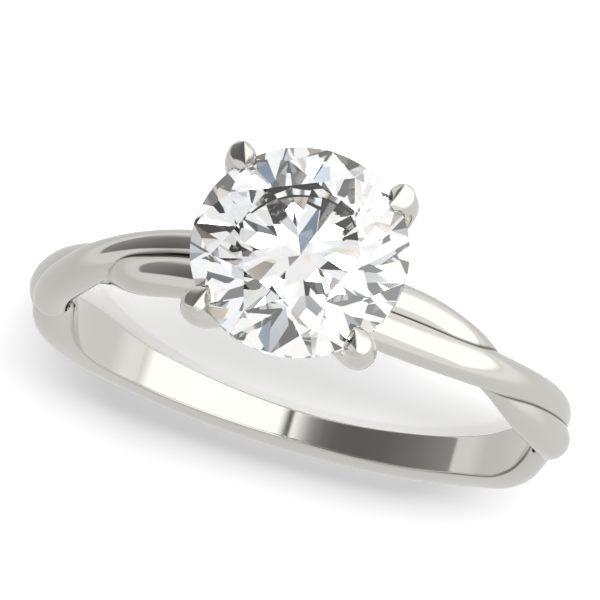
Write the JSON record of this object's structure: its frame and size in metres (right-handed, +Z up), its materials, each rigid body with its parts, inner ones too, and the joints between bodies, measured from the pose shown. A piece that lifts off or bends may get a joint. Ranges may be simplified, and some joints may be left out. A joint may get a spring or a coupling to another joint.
{
  "type": "twisted shank ring",
  "caption": "Solitaire finger ring with a two-strand twisted shank, a four-prong head and a round brilliant-cut stone, lying on its side.",
  "frame": {"origin": "middle of the part's box on the surface that the ring lies on", "axes": "+Z up; +Y from the head to the bottom of the band; the finger hole's axis is tilted 6.76 degrees from +Z towards +Y"},
  "size_m": [0.0208, 0.0256, 0.0071],
  "materials": {
    "metal": "polished white gold",
    "stone": "polished facets"
  },
  "bodies": {
    "root": {"ring_mount": "metal", "stone": "stone"}
  },
  "joints": []
}
